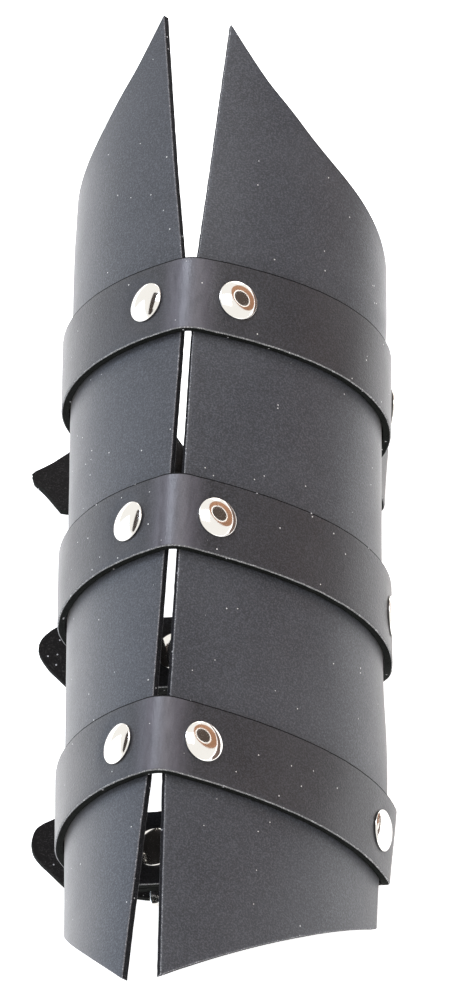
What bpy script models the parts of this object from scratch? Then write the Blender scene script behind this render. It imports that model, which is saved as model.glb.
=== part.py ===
"""Leather gauntlet: two bent panels that meet at a slit along the ridge, held by three buckled straps.

The pieces are worked out in the ridge's own frame: X to the wearer's right, Y along the ridge towards the
elbow, Z out of the ridge. The empty named gauntlet then lays that frame down on the straps, with the
floor at Z = 0 and the origin under the middle of the whole object. Lengths are in metres.
"""
import math

import bmesh
import bpy
from mathutils import Matrix, Vector

MM = 0.001

# Leather
PANEL_WALL = 2.4 * MM
STRAP_WALL = 2.4 * MM
GAP = 0.3 * MM
LAY_GAP = 0.45 * MM

# Panels: arcs are measured over the outer face from the ridge, stations along it from the middle strap
PANEL_ARC_ELBOW = 107 * MM
PANEL_ARC_WRIST = 95 * MM
WING_TIP_LEFT = 176 * MM
WING_TIP_RIGHT = 169 * MM
SHOULDER_LEFT = 122 * MM
SHOULDER_RIGHT = 106 * MM
POINT_REACH = 148 * MM
CORNER_REACH = 101 * MM
CORNER_REACH_LEFT = 98.8 * MM
BEND_ARC = 70 * MM
POINT_EDGE_BOW = 0.05
TURN_IN_START = 63 * MM
TURN_IN_RUN = 16 * MM

# Straps
STRAP_PITCH = 73 * MM
STRAP_WIDTH = 24.2 * MM
RIDGE_FOLD = 5 * MM
CREST_RISE = 1.25 * MM
REAR_SHIFT = 5 * MM
TIP_SLANT = 5 * MM
TIP_RISE = 6.5 * MM
TIP_LENGTH = 10 * MM
FLAT_RUN = 8 * MM
CHAPE_RETURN = 7 * MM
CHAPE_LEAD = 1 * MM
CHAPE_FLAT = 2 * MM
HOLE_RADIUS = 2.6 * MM
HOLE_PITCH = 19 * MM

# Buckles
BUCKLE_X = -11 * MM
BUCKLE_HALF = 14 * MM
BUCKLE_SIDE_ROOM = 0.9 * MM
BUCKLE_EDGE = 0.5 * MM
BAR = 2.6 * MM
BAR_ARCH = 3.5 * MM
PRONG_WIDTH = 2.6 * MM
PRONG_THICK = 1.4 * MM
PRONG_HOLE = 7.3 * MM
SLOT_ROOM = 0.5 * MM

# Rivets
CAP_RADIUS = 6.25 * MM
CAP_HEIGHT = 2.1 * MM
CAP_RIM = 0.45 * MM
POST_RADIUS = 1.8 * MM
BACK_RADIUS = 4.2 * MM
BACK_HEIGHT = 0.8 * MM
SIDE_RIVET_INSET = 9.5 * MM
BEND_ROOM = 0.65 * MM

# Heights of the layers' inner faces above the plane of the buckle's end bars: the tongue outside them,
# the tongue inside the right bar, and the chape
LYING = -BAR / 2 - GAP
LIFTED = BAR / 2 + GAP + STRAP_WALL
CHAPE = BAR / 2 + GAP + BACK_HEIGHT + GAP + STRAP_WALL

# How far the strap holds its direction where it leaves a panel's edge and where it meets the underside
EDGE_PULL = 0.55
FLOOR_PULL = 0.6

# Steps of the curved faces
PANEL_COLUMNS = 16
PANEL_ROWS = 20
STRAP_STEPS = 14
SIDE_STEPS = 9
RIVET_SIDES = 12

# Falling angle of the leather in degrees at three arcs: the ridge, half of BEND_ARC and BEND_ARC
# (row, side) -> (at the ridge, half way, at BEND_ARC)
BENDS = {
    ("elbow", 1): (29.5, 48, 80),
    ("middle", 1): (37, 49, 74),
    ("wrist", 1): (40, 51, 70),
    ("elbow", -1): (18, 42, 75),
    ("middle", -1): (20, 46, 77),
    ("wrist", -1): (21, 51, 78),
}

# How far the left panel turns in under the arm past TURN_IN_START, in degrees
TURN_IN = {"elbow": 6, "middle": 13, "wrist": 18}

# How much steeper the right panel's lower half is along the ridge: (station in STRAP_PITCH, degrees)
RIGHT_LEAN = (
    (-3.00, 0.6),
    (-1.37, 0.6),
    (-1.16, 0.4),
    (-0.80, -1.5),
    (-0.55, -1.1),
    (-0.20, 0.0),
    (1.15, 0.0),
    (1.32, -1.9),
    (3.00, -1.9),
)

# Slit edge of each panel: (station in STRAP_PITCH, share of PANEL_ARC_ELBOW from the ridge)
SLIT_EDGE = {
    1: ((-2.03, 0.041), (-1.17, 0.019), (1.17, 0.017), (2.32, 0.070)),
    -1: ((-2.03, 0.088), (-1.17, 0.042), (0.84, 0.022), (1.17, 0.032), (1.58, 0.075), (2.41, 0.155)),
}

# How much fuller the wing's cut is than WING_CUT half way along it, as a share of the wing's height
WING_FULLNESS = {1: 0.024, -1: 0.0}

# The wing's cut: (share of the way from the slit edge to the side edge, share of the wing's height)
WING_CUT = (
    (0.00, 1.000),
    (0.07, 0.850),
    (0.14, 0.715),
    (0.22, 0.595),
    (0.32, 0.455),
    (0.42, 0.355),
    (0.60, 0.225),
    (0.80, 0.105),
    (1.00, 0.000),
)

# Each strap: its station in STRAP_PITCH, how deep its buckle lies under the ridge, how far its tongue
# reaches to the left of the ridge, and whether its underside is pressed flat on the floor
STRAPS = {
    "elbow": {"station": 1, "depth": 129.7 * MM, "tongue": 83.0 * MM, "flat": True},
    "middle": {"station": 0, "depth": 106.0 * MM, "tongue": 69.5 * MM, "flat": False},
    "wrist": {"station": -1, "depth": 92.0 * MM, "tongue": 63.0 * MM, "flat": False},
}

# Rivets of each strap: how far the slit rivets are from the ridge on the left and on the right, and how far
# the chape's rivet is from the buckle's centre bar
RIVETS = {
    "elbow": {-1: 13.5 * MM, 1: 14.0 * MM, "chape": 12.5 * MM},
    "middle": {-1: 15.3 * MM, 1: 12.0 * MM, "chape": 13.7 * MM},
    "wrist": {-1: 14.0 * MM, 1: 12.1 * MM, "chape": 12.5 * MM},
}

# The tongue's point: (share of TIP_LENGTH from the tip, share of the strap's half width)
TONGUE_POINT = {
    "elbow": ((0.0, 0.06), (0.06, 0.18), (0.25, 0.32), (0.55, 0.56), (1.0, 1.0)),
    "middle": ((0.0, 0.10), (0.05, 0.27), (0.15, 0.42), (0.30, 0.54), (1.0, 1.0)),
    "wrist": ((0.0, 0.10), (0.05, 0.27), (0.15, 0.42), (0.30, 0.54), (1.0, 1.0)),
}


def blend(pairs, where):
    """Value at a place on a table of (place, value) pairs, on straight runs between them."""
    for (start, first), (end, second) in zip(pairs, pairs[1:]):
        if where <= end:
            return first + (second - first) * (where - start) / (end - start)
    return pairs[-1][1]


def ease(share):
    """Smooth step from 0 to 1."""
    share = min(max(share, 0.0), 1.0)
    return 0.5 - 0.5 * math.cos(math.pi * share)


def through_three(low, middle, high, share):
    """Parabola through values at -1, 0 and 1."""
    return middle + (high - low) / 2 * share + (high + low - 2 * middle) / 2 * share * share


def falling_angle(side, arc, station):
    """How steeply the panel's face falls away from the ridge, in radians."""
    share = min(max(station / STRAP_PITCH, -1.6), 1.6)
    angles = [
        through_three(BENDS["wrist", side][i], BENDS["middle", side][i], BENDS["elbow", side][i], share)
        for i in range(3)
    ]
    angle = through_three(*angles, 2 * arc / BEND_ARC - 1)
    if side > 0:
        angle += blend(RIGHT_LEAN, station / STRAP_PITCH) * ease(arc / BEND_ARC)
    else:
        turn = through_three(TURN_IN["wrist"], TURN_IN["middle"], TURN_IN["elbow"], min(max(share, -1), 1))
        angle += turn * ease((arc - TURN_IN_START) / TURN_IN_RUN)
    return math.radians(angle)


def skin(side, arc, station, offset=0.0):
    """Point and outward normal over a panel's outer face, at a height above it."""
    steps = 48
    x = z = 0.0
    for i in range(steps):
        angle = falling_angle(side, arc * (i + 0.5) / steps, station)
        x += math.cos(angle) * arc / steps
        z -= math.sin(angle) * arc / steps
    angle = falling_angle(side, arc, station)
    normal = Vector((side * math.sin(angle), 0, math.cos(angle)))
    return Vector((side * x, station, z)) + normal * offset, normal


def side_edge(station):
    """Arc from the ridge to a panel's side edge."""
    pairs = (
        (-POINT_REACH, PANEL_ARC_WRIST),
        (-CORNER_REACH, PANEL_ARC_WRIST),
        (SHOULDER_RIGHT, PANEL_ARC_ELBOW),
        (WING_TIP_LEFT, PANEL_ARC_ELBOW),
    )
    return blend(pairs, station)


def slit_edge(side, station):
    """Arc from the ridge to a panel's edge at the slit."""
    return PANEL_ARC_ELBOW * blend(SLIT_EDGE[side], station / STRAP_PITCH)


def set_material(target, colour, rough, metal):
    """Give an object its own Principled material."""
    material = bpy.data.materials.new(target.name + "_material")
    material.use_nodes = True
    shader = material.node_tree.nodes["Principled BSDF"]
    shader.inputs["Base Color"].default_value = (*colour, 1)
    shader.inputs["Roughness"].default_value = rough
    shader.inputs["Metallic"].default_value = metal
    target.data.materials.append(material)
    return target


def leather(target):
    """Smooth black leather."""
    return set_material(target, (0.035, 0.036, 0.042), 0.42, 0.0)


def nickel(target):
    """Polished nickel plate."""
    return set_material(target, (0.78, 0.76, 0.72), 0.14, 1.0)


def add_object(name, mesh, frame):
    """Link an object and hang it on the empty that lays the gauntlet down."""
    made = bpy.data.objects.new(name, mesh)
    bpy.context.scene.collection.objects.link(made)
    made.parent = frame
    return made


def finish_mesh(name, work):
    """Turn a closed bmesh into a mesh with its faces pointing out."""
    bmesh.ops.recalc_face_normals(work, faces=work.faces)
    mesh = bpy.data.meshes.new(name)
    work.to_mesh(mesh)
    work.free()
    mesh.shade_smooth()
    mesh.set_sharp_from_angle(angle=math.radians(35))
    return mesh


def wall_mesh(name, outer, inner):
    """Closed wall between two grids of points that have the same rows and columns."""
    work = bmesh.new()
    faces = [[[work.verts.new(point) for point in row] for row in grid] for grid in (outer, inner)]
    rows, columns = len(outer), len(outer[0])
    for grid in faces:
        for i in range(rows - 1):
            for j in range(columns - 1):
                work.faces.new((grid[i][j], grid[i][j + 1], grid[i + 1][j + 1], grid[i + 1][j]))
    rim = [(0, j) for j in range(columns)] + [(i, columns - 1) for i in range(1, rows)]
    rim += [(rows - 1, j) for j in range(columns - 2, -1, -1)] + [(i, 0) for i in range(rows - 2, 0, -1)]
    for (i, j), (k, m) in zip(rim, rim[1:] + rim[:1]):
        work.faces.new((faces[0][i][j], faces[0][k][m], faces[1][k][m], faces[1][i][j]))
    return finish_mesh(name, work)


def panel(side, frame):
    """One bent panel, a grid that runs from the wrist cut to the wing's cut."""
    name = "panel_right" if side > 0 else "panel_left"
    tip = WING_TIP_RIGHT if side > 0 else WING_TIP_LEFT
    shoulder = SHOULDER_RIGHT if side > 0 else SHOULDER_LEFT
    corner = CORNER_REACH if side > 0 else CORNER_REACH_LEFT
    outer, inner = [], []
    for column in range(PANEL_COLUMNS + 1):
        across = column / PANEL_COLUMNS
        fuller = WING_FULLNESS[side] * 4 * across * (1 - across)
        top = shoulder + (tip - shoulder) * (blend(WING_CUT, across) + fuller)
        bow = across + 4 * POINT_EDGE_BOW * across * (1 - across)
        bottom = -POINT_REACH + (POINT_REACH - corner) * bow
        outer_row, inner_row = [], []
        for row in range(PANEL_ROWS + 1):
            station = bottom + (top - bottom) * row / PANEL_ROWS
            start = slit_edge(side, station)
            arc = start + (side_edge(station) - start) * across
            point, normal = skin(side, arc, station)
            outer_row.append(point)
            inner_row.append(point - normal * PANEL_WALL)
        outer.append(outer_row)
        inner.append(inner_row)
    return leather(add_object(name, wall_mesh(name, outer, inner), frame))


def bezier(start, leave, arrive, end, steps):
    """Points of a cubic curve, without its first one."""
    points = []
    for i in range(1, steps + 1):
        t = i / steps
        s = 1 - t
        points.append(start * s**3 + leave * 3 * s * s * t + arrive * 3 * s * t * t + end * t**3)
    return points


def floor_slope():
    """Fall of the floor per unit along the ridge, seen from the ridge's frame."""
    elbow, wrist = STRAPS["elbow"], STRAPS["wrist"]
    reach = (elbow["station"] - wrist["station"]) * STRAP_PITCH + STRAP_WIDTH / 2
    return (elbow["depth"] - wrist["depth"]) / reach


def row_middle(row):
    """Station of a strap's middle on the underside."""
    return STRAPS[row]["station"] * STRAP_PITCH + REAR_SHIFT


def row_tilt(row):
    """Angle of a strap's underside against the ridge."""
    return math.atan(floor_slope()) if STRAPS[row]["flat"] else 0.0


def under(row, x, aside, height):
    """Point on a strap's underside: aside from its middle and above the plane of the buckle's end bars."""
    tilt = row_tilt(row)
    y = row_middle(row) + aside * math.cos(tilt) + height * math.sin(tilt)
    z = -STRAPS[row]["depth"] - aside * math.sin(tilt) + height * math.cos(tilt)
    return Vector((x, y, z))


def under_frame(row, x, height):
    """Placement on a strap's underside, flat with it."""
    return Matrix.Translation(under(row, x, 0.0, height)) @ Matrix.Rotation(-row_tilt(row), 4, "X")


def fold_radius():
    """Inner radius of the leather's fold round the buckle's centre bar."""
    return BAR / 2 * math.sqrt(2) + GAP


def strap_line(row, aside):
    """Inner face of a strap at a distance from its middle: points from the tongue's tip to the chape's end,
    each with the share of the width that the strap has there."""
    spec = STRAPS[row]
    front = spec["station"] * STRAP_PITCH + aside
    left_bar, right_bar = BUCKLE_X - BUCKLE_HALF, BUCKLE_X + BUCKLE_HALF
    path, width = [], []

    def add(point, share=1.0):
        path.append(point)
        width.append(share)

    # Free end of the tongue, from its tip to where it meets the left bar
    free = spec["tongue"] + left_bar - BAR
    point = TONGUE_POINT[row]
    places = [TIP_LENGTH * share for share, _ in point]
    places += [TIP_LENGTH + (free - TIP_LENGTH) * i / 6 for i in range(1, 7)]
    for place in places:
        out = 1 - place / free
        share = blend(point, place / TIP_LENGTH)
        add(under(row, place - spec["tongue"], aside + TIP_SLANT * out, LYING + TIP_RISE * out * out), share)
    # Across the buckle: outside its left and centre bars, inside its right bar, then down to the floor
    climb = BUCKLE_HALF - BAR / 2 - GAP
    for i in range(0, 9):
        add(under(row, BUCKLE_X + climb * i / 8, aside, LYING + (LIFTED - LYING) * ease(i / 8)))
    past = right_bar + BAR / 2 + GAP
    for i in range(0, 7):
        add(under(row, past + BUCKLE_HALF * i / 6, aside, LIFTED + (LYING - LIFTED) * ease(i / 6)))
    # Up the right side to the panel's edge
    edge_arc = side_edge(front)
    edge, normal = skin(1, edge_arc, front, LAY_GAP)
    start = under(row, past + BUCKLE_HALF + FLAT_RUN, aside, LYING)
    add(start)
    below = Vector((normal.z, 0, -normal.x)) * EDGE_PULL * (edge.z - start.z)
    run = Vector((FLOOR_PULL * (edge.x - start.x), 0, 0))
    for point in bezier(start, start + run, edge + below, edge, SIDE_STEPS):
        share = ease((point.z - start.z) / (edge.z - start.z))
        add(Vector((point.x, start.y + (front - start.y) * share, point.z)))
    # Over the right panel, the ridge and the left panel
    for i in range(1, STRAP_STEPS + 1):
        add(skin(1, edge_arc + (RIDGE_FOLD - edge_arc) * i / STRAP_STEPS, front, LAY_GAP)[0])
    first, last = path[-1], skin(-1, RIDGE_FOLD, front, LAY_GAP)[0]
    crest = Vector((0, front, CREST_RISE))
    for t in (0.25, 0.5, 0.75, 1.0):
        add(first * (1 - t) ** 2 + crest * 2 * t * (1 - t) + last * t * t)
    for i in range(1, STRAP_STEPS + 1):
        add(skin(-1, RIDGE_FOLD + (edge_arc - RIDGE_FOLD) * i / STRAP_STEPS, front, LAY_GAP)[0])
    # Down the left side to the chape
    edge, normal = skin(-1, edge_arc, front, LAY_GAP)
    rivet = BUCKLE_X - RIVETS[row]["chape"]
    end = under(row, rivet - CHAPE_RETURN - CHAPE_LEAD, aside, CHAPE)
    below = Vector((-normal.z, 0, normal.x)) * EDGE_PULL * (edge.z - end.z)
    run = Vector((FLOOR_PULL * (end.x - edge.x), 0, 0))
    for point in bezier(edge, edge + below, end - run, end, SIDE_STEPS):
        share = ease((edge.z - point.z) / (edge.z - end.z))
        add(Vector((point.x, front + (end.y - front) * share, point.z)))
    # Round the centre bar and back inside
    radius = fold_radius()
    closed = rivet + POST_RADIUS + CHAPE_FLAT
    for i in range(0, 5):
        place = closed + (BUCKLE_X - closed) * i / 5
        add(under(row, place, aside, CHAPE + (BAR_ARCH - radius - CHAPE) * ease(i / 5)))
    for i in range(0, 7):
        angle = math.pi * (i / 6 - 0.5)
        place = BUCKLE_X + radius * math.cos(angle)
        add(under(row, place, aside, BAR_ARCH + radius * math.sin(angle)))
    back = CHAPE + GAP
    for i in range(1, 6):
        place = BUCKLE_X + (closed - BUCKLE_X) * i / 5
        add(under(row, place, aside, BAR_ARCH + radius + (back - BAR_ARCH - radius) * ease(i / 5)))
    add(under(row, rivet - CHAPE_RETURN, aside, back))
    return path, width


def strap(row, frame):
    """One strap: the inner face's lines at its two edges, with the wall's thickness outside them."""
    name = "strap_" + row
    half = STRAP_WIDTH / 2
    middle, width = strap_line(row, 0.0)
    sides = {sign: strap_line(row, sign * half)[0] for sign in (-1, 1)}
    count = len(middle)
    inner, outer = [], []
    for i in range(count):
        along = middle[min(i + 1, count - 1)] - middle[max(i - 1, 0)]
        outward = (sides[1][i] - sides[-1][i]).cross(along).normalized()
        ends = [middle[i].lerp(sides[sign][i], width[i]) for sign in (-1, 1)]
        inner.append(ends)
        outer.append([point + outward * STRAP_WALL for point in ends])
    return leather(add_object(name, wall_mesh(name, outer, inner), frame))


def spun(name, profile, sides):
    """Turned piece from (radius, height) pairs that start and end on its axis."""
    work = bmesh.new()
    rings = []
    for radius, height in profile:
        if radius == 0:
            rings.append([work.verts.new((0, 0, height))])
            continue
        turns = [2 * math.pi * i / sides for i in range(sides)]
        rings.append([work.verts.new((radius * math.cos(a), radius * math.sin(a), height)) for a in turns])
    for low, high in zip(rings, rings[1:]):
        for i in range(sides):
            k = (i + 1) % sides
            if len(low) == 1:
                work.faces.new((low[0], high[i], high[k]))
            elif len(high) == 1:
                work.faces.new((low[i], low[k], high[0]))
            else:
                work.faces.new((low[i], low[k], high[k], high[i]))
    return finish_mesh(name, work)


def cap_profile(seat, way):
    """Half of a domed cap from its crown to the post, way +1 for a cap on top and -1 for one below."""
    dome = ((0.0, 1.0), (0.76, 0.68), (1.0, CAP_RIM / CAP_HEIGHT), (1.0, 0.0))
    half = [(CAP_RADIUS * radius, seat + way * CAP_HEIGHT * height) for radius, height in dome]
    return half + [(POST_RADIUS, seat)]


def double_cap_mesh():
    """Rivet through a strap and a panel, its origin on the panel's outer face."""
    above = LAY_GAP + STRAP_WALL + GAP
    below = -(PANEL_WALL + GAP + BEND_ROOM)
    return spun("double_cap", cap_profile(below, -1) + cap_profile(above, 1)[::-1], RIVET_SIDES)


def chape_rivet_mesh():
    """Rivet through the folded chape, domed inside and flat outside, its origin on the chape's inner face."""
    above = GAP + STRAP_WALL + GAP
    back = -(STRAP_WALL + GAP)
    profile = [(0.0, back - BACK_HEIGHT), (BACK_RADIUS, back - BACK_HEIGHT), (BACK_RADIUS, back), (POST_RADIUS, back)]
    return spun("chape_rivet", profile + cap_profile(above, 1)[::-1], RIVET_SIDES)


def rivet_seat(row, side, place):
    """Placement of a rivet on a panel's face: at the slit or near the side edge."""
    station = STRAPS[row]["station"] * STRAP_PITCH
    arc = RIVETS[row][side]
    if place == "side":
        arc = side_edge(station) - SIDE_RIVET_INSET
    point = skin(side, arc, station)[0]
    near = POST_RADIUS
    along = skin(side, arc, station + near)[0] - skin(side, arc, station - near)[0]
    down = skin(side, arc + near, station)[0] - skin(side, arc - near, station)[0]
    normal = (down.cross(along) * side).normalized()
    return Matrix.Translation(point) @ normal.to_track_quat("Z", "Y").to_matrix().to_4x4()


def buckle(row, frame):
    """Frame with a centre bar: rails that arch up to the bar, drawn as a lattice with two windows."""
    inner = STRAP_WIDTH / 2 + BUCKLE_SIDE_ROOM
    half, bar = BUCKLE_HALF, BAR / 2
    xs = (-half - bar, -half + bar, -half / 2, -bar, bar, half / 2, half - bar, half + bar)
    ys = (-inner - BAR, -inner, inner, inner + BAR)
    bars = (0, 3, 6)
    work = bmesh.new()
    grid = []
    for level in (bar, -bar):
        layer = []
        for i, x in enumerate(xs):
            share = min(1.0, max(0.0, (abs(x) - bar) / (half - BAR)))
            height = BAR_ARCH * (1 - share ** 2)
            line = []
            for j, y in enumerate(ys):
                corner = i in (0, 7) and j in (0, 3)
                pulled = x * (1 - 0.5 * BAR / (half + bar)) if corner else x
                line.append(work.verts.new((pulled, y, height + level)))
            layer.append(line)
        grid.append(layer)
    filled = {(i, j) for i in range(7) for j in range(3) if j != 1 or i in bars}
    for i, j in filled:
        for layer in grid:
            work.faces.new((layer[i][j], layer[i + 1][j], layer[i + 1][j + 1], layer[i][j + 1]))
        walls = {
            (i - 1, j): ((i, j), (i, j + 1)),
            (i + 1, j): ((i + 1, j), (i + 1, j + 1)),
            (i, j - 1): ((i, j), (i + 1, j)),
            (i, j + 1): ((i, j + 1), (i + 1, j + 1)),
        }
        for neighbour, ((a, b), (c, d)) in walls.items():
            if neighbour not in filled:
                work.faces.new((grid[0][a][b], grid[0][c][d], grid[1][c][d], grid[1][a][b]))
    made = nickel(add_object("buckle_" + row, finish_mesh("buckle_" + row, work), frame))
    made.matrix_local = under_frame(row, BUCKLE_X, 0.0)
    rounding = made.modifiers.new("rounded_edges", "BEVEL")
    rounding.width = BUCKLE_EDGE
    rounding.segments = 1
    return made


def prong(row, frame):
    """The prong: hooked over the centre bar, through the tongue's hole and onto the right bar."""
    mean = BAR / 2 * math.sqrt(2) + GAP + PRONG_THICK / 2
    tip_level = -BAR_ARCH - BAR / 2 - GAP - PRONG_THICK / 2
    hook = [math.radians(210 - 30 * i) for i in range(8)]
    line = [(mean * math.cos(a), mean * math.sin(a)) for a in hook]
    line += [(1.35 * mean, -0.5 * mean), (0.42 * BUCKLE_HALF, 0.42 * tip_level)]
    line += [(BUCKLE_HALF - BAR / 2 - GAP, tip_level), (BUCKLE_HALF + BAR, tip_level)]
    outer, inner = [], []
    for i, (x, z) in enumerate(line):
        before, after = line[max(i - 1, 0)], line[min(i + 1, len(line) - 1)]
        along = Vector((after[0] - before[0], 0, after[1] - before[1])).normalized()
        across = Vector((along.z, 0, -along.x)) * PRONG_THICK / 2
        half = PRONG_WIDTH / 2 * (0.7 if i == len(line) - 1 else 1.0)
        middle = Vector((x, 0, z))
        outer.append([middle + across + Vector((0, sign * half, 0)) for sign in (-1, 1)])
        inner.append([middle - across + Vector((0, sign * half, 0)) for sign in (-1, 1)])
    name = "prong_" + row
    made = nickel(add_object(name, wall_mesh(name, outer, inner), frame))
    made.matrix_local = under_frame(row, BUCKLE_X, BAR_ARCH)
    return made


def cylinder(work, radius, low, high, placement):
    """Add a cylinder along its own Z, from low to high, to a bmesh."""
    turn = placement @ Matrix.Translation((0, 0, (low + high) / 2))
    bmesh.ops.create_cone(
        work, cap_ends=True, segments=10, radius1=radius, radius2=radius, depth=high - low, matrix=turn
    )


def cut(target, work, frame):
    """Cut the shapes in a bmesh out of an object."""
    tool = add_object("cut_" + target.name, finish_mesh("cut_" + target.name, work), frame)
    tool.hide_render = True
    tool.display_type = "WIRE"
    removal = target.modifiers.new("holes", "BOOLEAN")
    removal.operation = "DIFFERENCE"
    removal.solver = "EXACT"
    removal.object = tool


def panel_holes(target, side, frame):
    """The rivet holes through one panel."""
    work = bmesh.new()
    for row in STRAPS:
        for place in ("slit", "side"):
            cylinder(work, POST_RADIUS + GAP, -2 * PANEL_WALL, PANEL_WALL, rivet_seat(row, side, place))
    cut(target, work, frame)


def strap_holes(target, row, frame):
    """Rivet holes, the prong's slot in the chape's fold and the punched holes in the tongue."""
    work = bmesh.new()
    for side in (-1, 1):
        for place in ("slit", "side"):
            cylinder(work, POST_RADIUS + GAP, -PANEL_WALL, 2 * STRAP_WALL, rivet_seat(row, side, place))
    chape = under_frame(row, BUCKLE_X - RIVETS[row]["chape"], CHAPE)
    cylinder(work, POST_RADIUS + GAP, -STRAP_WALL - GAP, STRAP_WALL + 2 * GAP, chape)
    slot = under_frame(row, BUCKLE_X, BAR_ARCH) @ Matrix.Rotation(math.pi / 2, 4, "X")
    slot_half = PRONG_WIDTH / 2 + SLOT_ROOM
    cylinder(work, fold_radius() + STRAP_WALL + GAP, -slot_half, slot_half, slot)
    for place in (-2, -1, 0, 1):
        hole = under_frame(row, BUCKLE_X + PRONG_HOLE + place * HOLE_PITCH, LYING)
        top = STRAP_WALL / 2 if place < 0 else 3 * STRAP_WALL
        cylinder(work, HOLE_RADIUS, -2 * STRAP_WALL, top, hole)
    cut(target, work, frame)


def lay_down(frame):
    """Turn the ridge's frame onto the floor and put the origin under the middle of the object's box."""
    frame.matrix_world = Matrix.Rotation(math.atan(floor_slope()), 4, "X")
    bpy.context.view_layer.update()
    solids = [piece for piece in frame.children if not piece.hide_render]
    corners = [piece.matrix_world @ vertex.co for piece in solids for vertex in piece.data.vertices]
    low = [min(corner[i] for corner in corners) for i in range(3)]
    high = [max(corner[i] for corner in corners) for i in range(3)]
    shift = Matrix.Translation((-(low[0] + high[0]) / 2, -(low[1] + high[1]) / 2, -low[2]))
    frame.matrix_world = shift @ frame.matrix_world
    bpy.context.view_layer.update()


def build():
    """Make the whole gauntlet."""
    for old in list(bpy.data.objects):
        bpy.data.objects.remove(old)
    frame = bpy.data.objects.new("gauntlet", None)
    bpy.context.scene.collection.objects.link(frame)
    for side in (-1, 1):
        panel_holes(panel(side, frame), side, frame)
    double_cap, chape_cap = double_cap_mesh(), chape_rivet_mesh()
    for row in STRAPS:
        strap_holes(strap(row, frame), row, frame)
        buckle(row, frame)
        prong(row, frame)
        for place in ("slit", "side"):
            for side, hand in ((-1, "left"), (1, "right")):
                made = add_object(f"rivet_{row}_{place}_{hand}", double_cap.copy(), frame)
                made.matrix_local = rivet_seat(row, side, place)
                nickel(made)
        made = add_object(f"rivet_{row}_chape", chape_cap.copy(), frame)
        made.matrix_local = under_frame(row, BUCKLE_X - RIVETS[row]["chape"], CHAPE)
        nickel(made)
    lay_down(frame)


build()
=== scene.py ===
import math

import bmesh
import bpy
from mathutils import Matrix, Vector, noise


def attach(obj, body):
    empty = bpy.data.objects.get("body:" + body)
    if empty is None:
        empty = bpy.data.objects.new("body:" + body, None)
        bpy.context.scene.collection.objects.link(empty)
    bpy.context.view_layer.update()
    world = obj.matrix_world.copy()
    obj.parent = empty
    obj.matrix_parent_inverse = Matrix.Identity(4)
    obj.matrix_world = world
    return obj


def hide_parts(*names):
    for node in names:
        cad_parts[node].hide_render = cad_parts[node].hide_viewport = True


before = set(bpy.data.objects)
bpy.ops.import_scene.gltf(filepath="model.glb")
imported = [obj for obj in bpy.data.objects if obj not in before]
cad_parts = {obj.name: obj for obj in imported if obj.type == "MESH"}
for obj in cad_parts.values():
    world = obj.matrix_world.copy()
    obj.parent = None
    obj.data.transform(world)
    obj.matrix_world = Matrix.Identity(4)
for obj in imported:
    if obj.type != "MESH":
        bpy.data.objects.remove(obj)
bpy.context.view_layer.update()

# PANELS
# Two panels of smooth black dyed leather, about 2.4 mm thick, cut by hand as near mirror images and bent while
# damp, so that they meet at a slit along the ridge. The cut edges are raw and dressed black along the wings;
# their rounded arris is pale, partly from wear and partly as a painted highlight, except where it faces the
# elbow. The inside is the hide's napped flesh side.
MM = 0.001
LEATHER_WALL = 2.4 * MM
STRAP_PITCH = 73 * MM
STRAP_WIDTH = 24.2 * MM
BEND_ARC = 70 * MM
PANEL_COLUMNS, PANEL_ROWS = 64, 170
# Reach of each panel's corners from the middle strap, the bow of its wrist end, the fullness of its wing, and
# its slit edge's distance from the ridge in mm at stations in strap pitches
PANEL_REACH = {
    "left": {
        "side": -1, "tip": 176 * MM, "shoulder": 122 * MM, "corner": 98.8 * MM, "bow": 0.24, "fullness": 0.0,
        "slit": ((-2.03, 9.4), (-1.17, 4.5), (0.84, 2.35), (1.17, 3.4), (1.58, 8.0), (2.41, 16.6)),
    },
    "right": {
        "side": 1, "tip": 169 * MM, "shoulder": 106 * MM, "corner": 101 * MM, "bow": 0.15, "fullness": 0.096,
        "slit": ((-2.03, 4.4), (-1.17, 2.0), (1.17, 1.8), (2.32, 7.5)),
    },
}
POINT_REACH = 148 * MM
MEAN_LENGTH = 250 * MM
# Falling angle of each panel in degrees at the ridge, half way down and at BEND_ARC, and how many strap
# pitches from the middle strap it still changes
BENDS = {
    ("elbow", 1): (29.5, 48, 80),
    ("middle", 1): (37, 49, 74),
    ("wrist", 1): (40, 51, 70),
    ("elbow", -1): (18, 42, 75),
    ("middle", -1): (20, 46, 77),
    ("wrist", -1): (21, 51, 78),
}
BEND_SPAN = 1.6
# Further turn of the left panel under the arm at the wrist, middle and elbow, in degrees
TURN_IN = (18, 13, 6)
TURN_START, TURN_RUN = 63 * MM, 16 * MM
# Further lean of the right panel in degrees, at stations in strap pitches
RIGHT_LEAN = (
    (-3.00, 0.6), (-1.37, 0.6), (-1.16, 0.4), (-0.80, -1.5), (-0.55, -1.1), (-0.20, 0.0),
    (1.15, 0.0), (1.32, -1.9), (3.00, -1.9),
)
HEM, ARRIS = 0.56 * MM, 0.3 * MM
PANEL_SWELL, EDGE_SHAKE = 0.12 * MM, 0.16 * MM
# Share of a wing's height that is left at a share of the panel's width
WING_CUT = (
    (0.00, 1.000), (0.07, 0.850), (0.14, 0.715), (0.22, 0.595), (0.32, 0.455),
    (0.42, 0.355), (0.60, 0.225), (0.80, 0.105), (1.00, 0.000),
)
# The ridge's own frame has X to the right, Y towards the elbow and Z out of the ridge. It is laid down on the
# straps, so that the ridge rises towards the elbow.
FLOOR_SLOPE = 37.7 / 158.1
RIDGE_TILT = math.atan(FLOOR_SLOPE)
LAID_DOWN = Matrix.Translation((0.01575, -0.01489, 0.11207)) @ Matrix.Rotation(RIDGE_TILT, 4, "X")


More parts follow.
